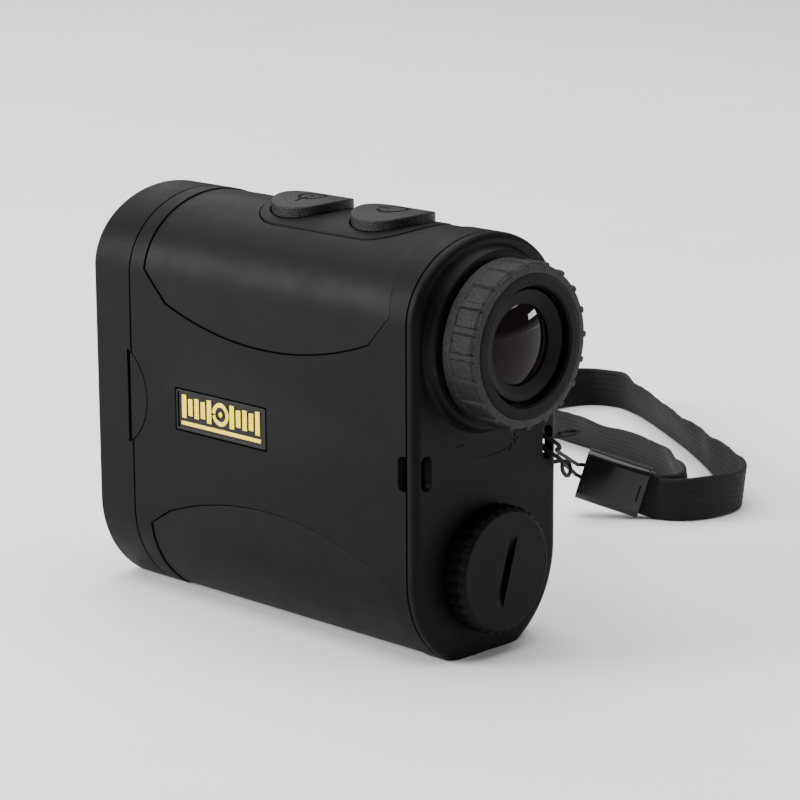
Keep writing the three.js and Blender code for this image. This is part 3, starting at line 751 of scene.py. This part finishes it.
GRIP_ARC = 74.3
GRIP_ARC_HALF = 26.5
UPPER_ARC_Z = 126.7
LOWER_ARC_Z = -52.2
SKIN_TOP, SKIN_BOTTOM, POCKET = 0.25, 1.2, 1.5
SEAM = 0.18  # width of the seams round the grips and the keypad plate
KEYPAD = {"half": 9.8, "rear": -25.0, "front": 15.0, "corner": 9.0}
BUTTON_RADIUS = 7.6
BUTTON_RISE = 1.55
BUTTON_YS = {"mode": 5.9, "power": -14.8}
CASE_SCREWS = [(-12.4, 42), (12.4, 42), (-11, 10), (11, 10)]
SLOT = {"near": 14.5, "far": 17.0, "low": 32.6, "high": 38.9, "front": -33.9}
NAMEPLATE = {"rear": -0.4, "front": 23.8, "low": 33.9, "high": 41.5, "floor": -17.6}


def upper_outline(grow):
    radius = GRIP_ARC + grow
    sweep = math.degrees(math.asin((GRIP_ARC_HALF + grow) / radius))
    return [
        *arc(0, UPPER_ARC_Z, radius, -90 - sweep, -90 + sweep, 56),
        (32.3 + grow, 63), (32.3 + grow, 89), (-27 - grow, 89), (-31.8 - grow, 63),
    ]


def lower_outline(grow):
    radius = GRIP_ARC + grow
    sweep = math.degrees(math.asin((GRIP_ARC_HALF + grow) / radius))
    side = 31.9 + grow
    return [
        *arc(0, LOWER_ARC_Z, radius, 90 - sweep, 90 + sweep, 56),
        (-side, 14), (-side, -5), (side, -5), (side, 14),
    ]


def keypad_outline(grow):
    return rounded_box(
        -KEYPAD["half"] - grow, KEYPAD["rear"] - grow,
        KEYPAD["half"] + grow, KEYPAD["front"] + grow, KEYPAD["corner"] + grow, 16,
    )


def across(outline):
    return prism(outline, -PAST, PAST, "X")


def above(outline):
    return prism(outline, HEIGHT / 2, 2 * HEIGHT, "Z")


def tab_disc(grow):
    return meet(across(circle(42.75, 38, 10.5 + grow, 72)), box(-PAST, PAST, 25, 37.6, 0, HEIGHT))


def add_housing():
    y0, y1 = REAR_PARTING + PARTING_GAP / 2, FRONT_PARTING - PARTING_GAP / 2
    body = cut(hull(0, y0, y1), hull(WALL, y0 - 1, y1 + 1))
    for outline in (upper_outline(SEAM), lower_outline(SEAM)):
        body = cut(body, cut(across(outline), hull(POCKET, -PAST - 2, PAST + 2)))
    body = cut(body, cut(tab_disc(SEAM), hull(POCKET, -PAST - 2, PAST + 2)))
    plate = NAMEPLATE
    body = cut(body, box(
        -HALF_WIDTH - 1, plate["floor"], plate["rear"] - 0.3, plate["front"] + 0.3,
        plate["low"] - 0.3, plate["high"] + 0.3,
    ))
    notch = rounded_box(y0 - 4, SLOT["low"], SLOT["front"], SLOT["high"], 1.2)
    for x0, x1 in ((-20, -15), (15, 20)):
        body = cut(body, prism(notch, x0, x1, "X"))
    for y in BUTTON_YS.values():
        body = cut(body, above(circle(0, y, 2.6, 32)))
    body = bevelled(body, 0.12)
    follow_casing(settle(body, "housing_shell", SHELL, "root", "shell", "main_housing"))


def add_grips():
    upper = meet(skin(SKIN_TOP, SKIN_BOTTOM), across(upper_outline(0)))
    upper = bevelled(cut(upper, above(keypad_outline(SEAM))), 0.15, 3)
    follow_casing(settle(upper, "upper_grip_panel", GRIP, "root", "grip", "upper_grip"))
    lower = bevelled(meet(skin(SKIN_TOP, SKIN_BOTTOM), across(lower_outline(0))), 0.15, 3)
    follow_casing(settle(lower, "lower_grip_panel", GRIP, "root", "grip", "lower_grip"))


def add_bezel():
    bezel = meet(skin(0.1, SKIN_BOTTOM), above(keypad_outline(0)))
    wells = [above(circle(0, y, BUTTON_RADIUS + 0.3, 80)) for y in BUTTON_YS.values()]
    bezel = bevelled(cut(bezel, *wells), 0.12)
    follow_casing(settle(bezel, "keypad_plate", SHELL, "root", "shell", "keypad_bezel"))


def add_front_cover():
    parting = FRONT_PARTING + PARTING_GAP / 2
    inside = FRONT_FACE - WALL
    cover = rounded_hull(parting, FRONT_FACE, FRONT_FACE, 2.7, 7, keep_base=False)
    tabs = meet(skin(0, SKIN_BOTTOM), tab_disc(0))
    cover = join(cover, tabs)
    cover = cut(cover, hull(WALL, 20, inside))
    for z, radius, mouth in ((SIGHT_Z, 13, 14), (LASER_Z, 8, 8.8)):
        face = FRONT_FACE + 0.2
        bore = [(0, inside - 2), (radius, inside - 2), (radius, face - 1.8), (mouth, face), (0, face)]
        cover = cut(cover, turned(bore, z, segments=96, closed=False))
    for x, z in CASE_SCREWS:
        sink = [(0, inside - 1), (1.2, inside - 1), (1.2, FRONT_FACE - 1.4), (2.3, FRONT_FACE - 1.4)]
        sink += [(2.3, FRONT_FACE + 1), (0, FRONT_FACE + 1)]
        cover = cut(cover, turned(sink, z, x, segments=40, closed=False))
    cover = bevelled(cover, 0.2)
    follow_casing(settle(cover, "front_shell", SHELL, "root", "shell", "front_cover"))


def rear_marks():
    """Engraved signs round the eyepiece: minus, a curved arrow and plus, as cutters."""
    deep = (REAR_FACE - 1, REAR_FACE + 0.12)
    marks = [
        prism(rectangle(-8.5, 39.1, -6.4, 39.5), *deep, "Y"),
        prism(rectangle(5.8, 37.9, 7.9, 38.3), *deep, "Y"),
        prism(rectangle(6.65, 37.05, 7.05, 39.15), *deep, "Y"),
    ]
    start, end = -103.5, -75.5
    shaft = arc(0, SIGHT_Z, 21.3, start, end, 20) + arc(0, SIGHT_Z, 20.9, end, start, 20)
    marks.append(prism(shaft, *deep, "Y"))
    tip = math.radians(-72.5)
    back = math.radians(-76)
    head = [
        (21.1 * math.cos(tip), SIGHT_Z + 21.1 * math.sin(tip)),
        (22.0 * math.cos(back), SIGHT_Z + 22.0 * math.sin(back)),
        (20.2 * math.cos(back), SIGHT_Z + 20.2 * math.sin(back)),
    ]
    marks.append(prism(head, *deep, "Y"))
    return marks


def add_rear_cover():
    parting = REAR_PARTING - PARTING_GAP / 2
    cover = rounded_hull(REAR_FACE, parting, REAR_FACE, 1.7, 6, keep_base=True)
    boss = [(11.6, parting - 0.5), (16.9, parting - 0.5), (16.75, -38.15), (16.5, -38.35)]
    boss += [(16.2, -38.75), (16.05, -39.2), (15.95, -39.7), (15.75, -40.05), (15.4, -40.2)]
    boss += [(11.6, -40.2)]
    cover = join(cover, turned(boss, SIGHT_Z, segments=160))
    sleeve = [(11.6, parting - 0.5), (13.8, parting - 0.5), (13.8, -31), (11.6, -31)]
    cover = join(cover, turned(sleeve, SIGHT_Z, segments=96))
    port = [(8, parting - 0.5), (10.4, parting - 0.5), (10.4, -31.5), (8, -31.5)]
    cover = join(cover, turned(port, CAP_Z, segments=96))
    cover = cut(
        cover,
        turned([(0, -PAST), (12.6, -PAST), (12.6, 0), (0, 0)], SIGHT_Z, segments=160, closed=False),
        turned([(0, -PAST), (9, -PAST), (9, 0), (0, 0)], CAP_Z, segments=96, closed=False),
        turned([(9.9, -PAST), (11.1, -PAST), (11.1, -37.2), (9.9, -37.2)], CAP_Z, segments=96),
    )
    near, far, low, high = SLOT["near"], SLOT["far"], SLOT["low"], SLOT["high"]
    for x0, x1 in ((-far, -near), (near, far)):
        cover = cut(cover, prism(rounded_box(x0, low, x1, high, 1.24), -PAST, 0, "Y"))
    cover = bevelled(cover, 0.14)
    cover = cut(cover, *rear_marks())
    follow_casing(settle(cover, "rear_shell", SHELL, "root", "shell", "rear_cover"))


add_housing()
add_grips()
add_bezel()
add_front_cover()
add_rear_cover()


# ---- keys -------------------------------------------------------------------------------------

def key_disc(y):
    """A round key: its top and underside run parallel to the crown, and its rim is softly rounded."""
    segments, easing = 96, 0.3
    rings = []
    for i in range(1, 13):
        rings.append((BUTTON_RADIUS - easing) * i / 12)
    profile = [(r, 0.0) for r in rings]
    for k in range(1, 7):
        angle = math.radians(90 * k / 6)
        profile.append((
            BUTTON_RADIUS - easing + easing * math.sin(angle), easing * (1 - math.cos(angle)),
        ))
    verts = [(0, y, crown(0, -BUTTON_RISE))]
    for radius, drop in profile:
        for k in range(segments):
            angle = TURN * k / segments
            x = radius * math.cos(angle)
            verts.append((x, y + radius * math.sin(angle), crown(x, -BUTTON_RISE) - drop))
    underside = [BUTTON_RADIUS * i / 8 for i in range(8, 0, -1)]
    for radius in underside:
        for k in range(segments):
            angle = TURN * k / segments
            x = radius * math.cos(angle)
            verts.append((x, y + radius * math.sin(angle), crown(x, 0.2)))
    verts.append((0, y, crown(0, 0.2)))
    rows = len(profile) + len(underside)
    faces = [[0, 1 + k, 1 + (k + 1) % segments] for k in range(segments)]
    for face in grid_faces(rows, segments, wrap_columns=True):
        faces.append([1 + i for i in face])
    last = 1 + (rows - 1) * segments
    faces += [[last + (k + 1) % segments, last + k, len(verts) - 1] for k in range(segments)]
    return draft(verts, faces)


SIGN_ROOT = 0.4  # how far a sign goes down into its key


def relief(outline, y, rise):
    """A raised sign on a key: an outline in X and Y about the key's middle, draped on its top."""
    count = len(outline)
    verts = []
    for level in (-SIGN_ROOT, rise):
        for u, v in outline:
            verts.append((u, y + v, crown(u, -BUTTON_RISE) + level))
    faces = [list(range(count)), list(range(count, 2 * count))]
    faces += [[i, (i + 1) % count, (i + 1) % count + count, i + count] for i in range(count)]
    return draft(verts, faces)


def stroke(points, width):
    """The outline of a line of the given width."""
    left, right = [], []
    for i, point in enumerate(points):
        a = Vector(points[max(i - 1, 0)])
        b = Vector(points[min(i + 1, len(points) - 1)])
        side = (b - a).normalized().orthogonal() * (width / 2)
        left.append(tuple(Vector(point) + side))
        right.append(tuple(Vector(point) - side))
    return left + right[::-1]


def add_key(key, signs):
    y = BUTTON_YS[key]
    body = key + "_key"
    disc = bevelled(key_disc(y), 0.05, 1, 60)
    disc = join(disc, key_stem(y))
    settle(disc, key + "_key_cap", RUBBER, body, "button_rubber", key + "_button", sharp=50)
    for i, outline in enumerate(signs):
        sign = relief(outline, y, 0.03)
        settle(sign, f"{key}_sign_{i + 1}", INK, body, "button_rubber")


def key_stem(y):
    return prism(circle(0, y, 2.0, 32), 71.9, HEIGHT, "Z")


POWER_SIGNS = [
    stroke(arc(0, 0, 2.7, 125, 415, 40), 0.6),
    stroke([(0, 0.9), (0, 2.2), (0, 3.6)], 0.6),
]
MODE_SIGNS = [
    stroke(arc(0, 0, 2.5, 15, 165, 24), 0.55),
    stroke(arc(0, 0, 2.5, 195, 345, 24), 0.55),
    stroke([(-4.4, 0), (-3.0, 0), (-1.5, 0)], 0.55),
    stroke([(1.5, 0), (3.0, 0), (4.4, 0)], 0.55),
    circle(0, 0, 0.5, 20),
]
add_key("mode", MODE_SIGNS)
add_key("power", POWER_SIGNS)


# ---- eyepiece ---------------------------------------------------------------------------------

GRIP_PADS = 20
GRIP_REAR, GRIP_RIM = -40.6, -47.8
BAR_RADIUS, PAD_RADIUS, BAND_RADIUS = 14.9, 14.56, 14.7


def diopter_radius(angle, y):
    """Radius of the rubber sleeve: a plain band, then pads framed by fine grooves and bars."""
    pitch = TURN * BAR_RADIUS / GRIP_PADS
    aside = abs((angle / TURN * GRIP_PADS) % 1.0 - 0.5) * pitch
    past_band = smoothstep(-42.5, -42.75, y)
    on_pad = smoothstep(1.92, 1.72, aside) * past_band
    bar_start = smoothstep(-42.6, -43.0, y)
    raised = BAND_RADIUS + (BAR_RADIUS - BAND_RADIUS) * bar_start
    across = max(0.0, 1 - abs(aside - 1.66) / 0.14) * smoothstep(-42.7, -42.9, y)
    along = max(0.0, 1 - abs(y + 42.95) / 0.16) * smoothstep(1.8, 1.6, aside)
    radius = raised + (PAD_RADIUS - raised) * on_pad - 0.1 * max(across, along)
    chamfer = 0.34 * smoothstep(-46.9, GRIP_RIM, y) * on_pad
    chamfer += 0.12 * smoothstep(-47.5, GRIP_RIM, y) * (1 - on_pad)
    return radius - chamfer - 0.3 * smoothstep(-40.95, GRIP_REAR, y)


def add_diopter():
    columns = GRIP_PADS * 40
    rows = 60
    inner_y, rim_y = GRIP_REAR, GRIP_RIM
    verts = []
    for i in range(rows):
        y = inner_y + (rim_y - inner_y) * i / (rows - 1)
        for k in range(columns):
            angle = TURN * k / columns
            radius = diopter_radius(angle, y)
            verts.append((radius * math.cos(angle), y, SIGHT_Z + radius * math.sin(angle)))
    for radius, y in ((13.2, -47.95), (12.9, -47.9), (12.9, inner_y)):
        for k in range(columns):
            angle = TURN * k / columns
            verts.append((radius * math.cos(angle), y, SIGHT_Z + radius * math.sin(angle)))
    faces = grid_faces(rows + 3, columns, wrap_rows=True, wrap_columns=True)
    sleeve = draft(verts, faces)
    settle(sleeve, "diopter_grip_sleeve", RUBBER, "diopter_dial", "grip", "diopter_grip", sharp=45)
    core = [(11.7, -40.5), (12.85, -40.5), (12.85, -47.9), (12.3, -48), (10.9, -48), (10.55, -47.6)]
    core += [(10.55, -46.7), (11.7, -46.7)]
    ring = turned(eased(core, 0.08), SIGHT_Z)
    settle(ring, "diopter_ring_core", SHELL, "diopter_dial", "shell", "diopter_ring")


def lens(radius, y0, y1, bulge0, bulge1, z):
    steps = 14
    def face(y, bulge):
        return [
            (radius * i / steps, y + bulge * (1 - (i / steps) ** 2)) for i in range(steps + 1)
        ]
    return turned(face(y0, -bulge0) + face(y1, bulge1)[::-1], z, segments=96, closed=False)


def add_eyepiece():
    cell = [(10.1, -31), (10.1, -45.8), (9.85, -46.6), (9.5, -46.6), (8.6, -46.3), (7.3, -45.75)]
    cell += [(7.15, -45.6), (7.15, -45.45), (8.2, -45.4), (8.2, -31)]
    settle(
        turned(eased(cell, 0.06), SIGHT_Z), "ocular_cell_shell", INNER, "ocular", "inner_black",
        "ocular_cell",
    )
    settle(
        lens(7.9, -45.1, -40, 1.3, 0.6, SIGHT_Z), "eye_lens_glass", EYE_GLASS, "ocular",
        "coated_glass", "eye_lens",
    )
    tube = [(10.4, -46.3), (11.4, -46.3), (11.4, -36), (12.3, -36), (12.3, -33), (11.4, -33)]
    tube += [(11.4, -24), (10.4, -24)]
    settle(
        turned(eased(tube, 0.1), SIGHT_Z), "eyepiece_sleeve", INNER, "root", "inner_black",
        "eyepiece_tube",
    )


add_diopter()
add_eyepiece()


# ---- battery cap ------------------------------------------------------------------------------

COIN_DISC = 17.4  # radius of the disc that the coin slot is cut with
COIN_SLOT = {"half_width": 0.95, "floor": -41.4, "tilt": 17.5}
CAP_RIBS, RIB_DEPTH = 32, 0.42
RIB_ENDS = (-41.9, -38.75)


def add_cap():
    """The screw-in cap: lobed grip, chamfered face and a coin slot cut with a disc."""
    per_rib = 12
    columns = CAP_RIBS * per_rib
    profile = [(8.6, -33.2), (8.6, -38.7), (11.4, -38.7), (11.6, -38.9), (11.6, -41.5)]
    profile += [(11.45, -41.85), (10.75, -42.6), (10.5, -42.7)]
    verts = []
    for radius, y in profile:
        for k in range(columns):
            phase = (k / per_rib) % 1.0
            ridge = smoothstep(0.5, 0.16, abs(phase - 0.5))
            depth = RIB_DEPTH if RIB_ENDS[0] < y < RIB_ENDS[1] else 0.0
            r = radius - depth * (1 - ridge)
            angle = TURN * k / columns
            verts.append((r * math.cos(angle), y, CAP_Z + r * math.sin(angle)))
    faces = grid_faces(len(profile), columns, wrap_columns=True)
    faces.append(list(range(columns)))
    faces.append(list(range(len(verts) - columns, len(verts))))
    cap = draft(verts, faces)
    half = COIN_SLOT["half_width"]
    slot = prism(circle(COIN_SLOT["floor"] - COIN_DISC, 0, COIN_DISC, 160), -half, half, "X")
    slot.data.transform(
        Matrix.Translation((0, 0, CAP_Z))
        @ Matrix.Rotation(math.radians(COIN_SLOT["tilt"]), 4, "Y")
    )
    cap = cut(cap, slot)
    cap = bevelled(cap, 0.08, 2, 40)
    settle(cap, "battery_cap_shell", SHELL, "cap", "shell", "battery_cap", sharp=45)


add_cap()


# ---- nameplate --------------------------------------------------------------------------------

PLATE_FACE = -18.35
RELIEF_RISE = 0.22
PLATE_RIM = 0.35  # width of the raised rim round the badge
BAR_HALF, BAR_PITCH, BAR_START = 0.6, 1.72, 3.1


def plate_relief(outline):
    """A gold form on the left side: its outline is in Y, towards the front, and Z."""
    return bevelled(prism(outline, PLATE_FACE - RELIEF_RISE, PLATE_FACE + 0.05, "X"), 0.05, 2)


def add_nameplate():
    plate = NAMEPLATE
    rear, low, front, high = (plate[edge] for edge in ("rear", "low", "front", "high"))
    outline = rounded_box(rear, low, front, high, 0.25, 4)
    opening = rounded_box(
        rear + PLATE_RIM, low + PLATE_RIM, front - PLATE_RIM, high - PLATE_RIM, 0.1, 2
    )
    base = prism(outline, PLATE_FACE, -17.9, "X")
    rim = cut(prism(outline, -18.6, -18.2, "X"), prism(opening, -19, -18, "X"))
    body = bevelled(join(base, rim), 0.06, 2)
    settle(body, "badge_plate", PLATE, "root", "badge", "nameplate")
    middle_y = (rear + front) / 2
    middle_z = low + 4.55
    forms = [
        stroke(arc(middle_y, middle_z, 1.8, 0, 350, 48), 0.8),
        circle(middle_y, middle_z, 0.5, 24),
    ]
    for side in (-1, 1):
        for i, height in enumerate((4.4, 3.2, 3.8, 3.2, 4.4)):
            y = middle_y + side * (BAR_START + BAR_PITCH * i)
            bottom, top = middle_z - height / 2, middle_z + height / 2
            forms.append(rectangle(y - BAR_HALF, bottom, y + BAR_HALF, top))
    forms.append(rectangle(rear + 1.3, low + 1.0, front - 1.3, low + 1.7))
    for i, outline in enumerate(forms):
        settle(plate_relief(outline), f"badge_relief_{i + 1}", GOLD, "root", "badge")


add_nameplate()


# ---- front optics and screws ------------------------------------------------------------------

def add_front_optics():
    barrel = [(13.4, 14.3), (13.4, 45.2), (12.7, 45.2), (12.7, 47.2), (12.1, 47.2), (12.1, 39.7)]
    barrel += [(11.2, 39.7), (11.2, 14.3)]
    settle(
        turned(eased(barrel, 0.15), SIGHT_Z), "objective_sleeve", INNER, "root", "inner_black",
        "objective_barrel",
    )
    settle(
        lens(11.8, 40, 42.4, 0, 1.8, SIGHT_Z), "objective_glass", FRONT_GLASS, "root",
        "coated_glass", "objective_lens",
    )
    settle(
        turned(eased([(11, 43), (11.8, 43), (11.8, 45.4), (11.3, 45.4)], 0.12), SIGHT_Z),
        "objective_retainer", INNER, "root", "inner_black", "objective_ring",
    )
    tube = [(8.6, 16), (8.6, 45.2), (7.7, 45.2), (7.7, 47.2), (7.1, 47.2), (7.1, 42), (6.6, 42)]
    tube += [(6.6, 17.5), (2.9, 17.5), (2.9, 16)]
    settle(
        turned(eased(tube, 0.12), LASER_Z), "laser_sleeve", INNER, "root", "inner_black",
        "laser_tube",
    )
    settle(
        lens(6.8, 42.3, 43.6, 0, 1.3, LASER_Z), "laser_glass", FRONT_GLASS, "root",
        "coated_glass", "laser_lens",
    )
    settle(
        turned(eased([(6.2, 44.2), (6.8, 44.2), (6.8, 46.4), (6.4, 46.4)], 0.1), LASER_Z),
        "laser_retainer", INNER, "root", "inner_black", "laser_ring",
    )


def add_screws():
    seat, head = FRONT_FACE - 1.1, FRONT_FACE - 0.2
    for i, (x, z) in enumerate(CASE_SCREWS):
        profile = [(0, 34), (0.85, 34), (0.85, seat), (1.9, seat), (1.9, head - 0.2)]
        profile += [(1.75, head), (0, head)]
        screw = turned(profile, z, x, segments=48, closed=False)
        socket = prism(circle(x, z, 0.85, 6), head - 0.5, head + 1, "Y")
        screw = bevelled(cut(screw, socket), 0.04, 1)
        settle(screw, f"screw_{i + 1}", METAL, "root", "metal", f"case_screw_{i + 1}")


add_front_optics()
add_screws()


# ---- finishes of the CAD nodes that still show ------------------------------------------------

SLOT_FINISH = {
    "shell": SHELL, "grip": GRIP, "button_rubber": RUBBER, "seal_rubber": SEAL,
    "gloss_black": GLOSS, "badge": PLATE, "inner_black": INNER, "metal": METAL,
    "coated_glass": FRONT_GLASS, "clear_glass": CLEAR_GLASS, "circuit_board": BOARD,
    "battery_wrap": WRAP, "webbing": WEBBING_CLOTH, "cord": CORD,
}
for part in frame["record"]["subparts"]:
    cad = frame["nodes"][part["node"]]
    cad.data.materials.clear()
    cad.data.materials.append(SLOT_FINISH[part["material_slot"]])


# ---- floor and light --------------------------------------------------------------------------

def add_floor():
    made, tree, shader = new_material("pale_floor")
    place = node(tree, "ShaderNodeTexCoord").outputs["Object"]
    tone = noise(tree, place, 60.0)
    tree.links.new(
        two_tones(tree, tone, (0.90, 0.90, 0.90), (0.93, 0.93, 0.93)), shader.inputs["Base Color"]
    )
    shader.inputs["Roughness"].default_value = 0.9
    shader.inputs["Specular IOR Level"].default_value = 0.1
    size = 6.0
    floor = draft(
        [(-size, -size, 0), (size, -size, 0), (size, size, 0), (-size, size, 0)], [[0, 1, 2, 3]]
    )
    floor.name = "floor"
    floor.data.materials.append(made)


def add_light(name, place, target, size, power, size_y=None):
    """A rectangular lamp that faces the target; sizes are in metres and power in watts."""
    data = bpy.data.lights.new(name, "AREA")
    data.shape = "RECTANGLE"
    data.size = size
    data.size_y = size_y or size
    data.energy = power
    lamp = bpy.data.objects.new(name, data)
    lamp.location = place
    lamp.rotation_euler = (Vector(target) - Vector(place)).to_track_quat("-Z", "Y").to_euler()
    bpy.context.scene.collection.objects.link(lamp)


def add_world(strength):
    world = bpy.data.worlds.new("studio")
    world.use_nodes = True
    background = world.node_tree.nodes["Background"]
    background.inputs["Color"].default_value = (1, 1, 1, 1)
    background.inputs["Strength"].default_value = strength
    bpy.context.scene.world = world


EYE_LENS_PLACE = (0, -0.045, 0.057)
add_floor()
add_world(0.18)
add_light("overhead", (0.1, 0.25, 1.5), (0.03, 0, 0), 1.9, 46)
add_light("left_softbox", (-0.75, 0.62, 0.42), (0, 0, 0.05), 0.5, 16)
add_light("far_fill", (0.5, 1.2, 0.7), (0.03, 0, 0.03), 0.9, 4)
add_light("catch_high", (0.44, -0.69, 0.24), EYE_LENS_PLACE, 0.34, 1.5, size_y=0.04)
add_light("catch_low", (0.70, -0.42, 0.09), EYE_LENS_PLACE, 0.2, 0.8, size_y=0.04)
